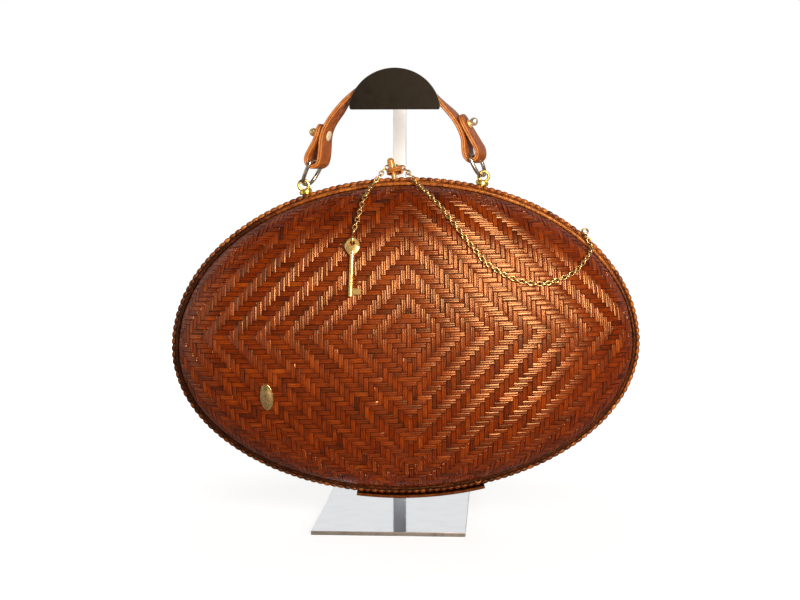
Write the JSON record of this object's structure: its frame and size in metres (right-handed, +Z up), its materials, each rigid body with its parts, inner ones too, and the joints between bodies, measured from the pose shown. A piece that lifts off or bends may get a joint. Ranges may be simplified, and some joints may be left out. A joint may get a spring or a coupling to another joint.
{
  "type": "rattan handbag on display stand",
  "caption": "Oval clamshell handbag of woven rattan with a leather handle, a peg closure and a key on a chain, hung on a steel display stand.",
  "frame": {"origin": "on the underside of the stand's plate, below the middle of the bag and in the plane where its two halves meet", "axes": "+X to the right across the bag's width, +Y to the back, through the bag's depth, +Z up"},
  "size_m": [0.3496, 0.1828, 0.3388],
  "materials": {
    "rattan": "satin",
    "leather": "satin",
    "wood": "satin",
    "brass": "polished",
    "steel": "polished",
    "bronze": "satin"
  },
  "bodies": {
    "back": {"stand_base": "steel", "stand_post": "steel", "stand_head": "bronze", "back_shell": "rattan", "back_rim": "rattan", "back_hinge_leaf": "leather", "left_eye": "brass", "right_eye": "brass", "left_ring": "steel", "right_ring": "steel", "handle_strap": "leather", "left_stud": "brass", "right_stud": "steel"},
    "front": {"front_shell": "rattan", "front_rim": "rattan", "front_hinge_leaf": "leather", "closure_peg": "wood", "peg_collar": "rattan", "chain": "brass", "chain_eye": "brass", "key": "brass", "oval_boss": "brass"}
  },
  "joints": [
    {"name": "shell_hinge", "type": "hinge", "parent": "back", "child": "front", "pos_m": [0.0024, 0, 0.01913], "axis": [0.9998, 0, 0.0209], "range_deg": [0, 55]}
  ]
}
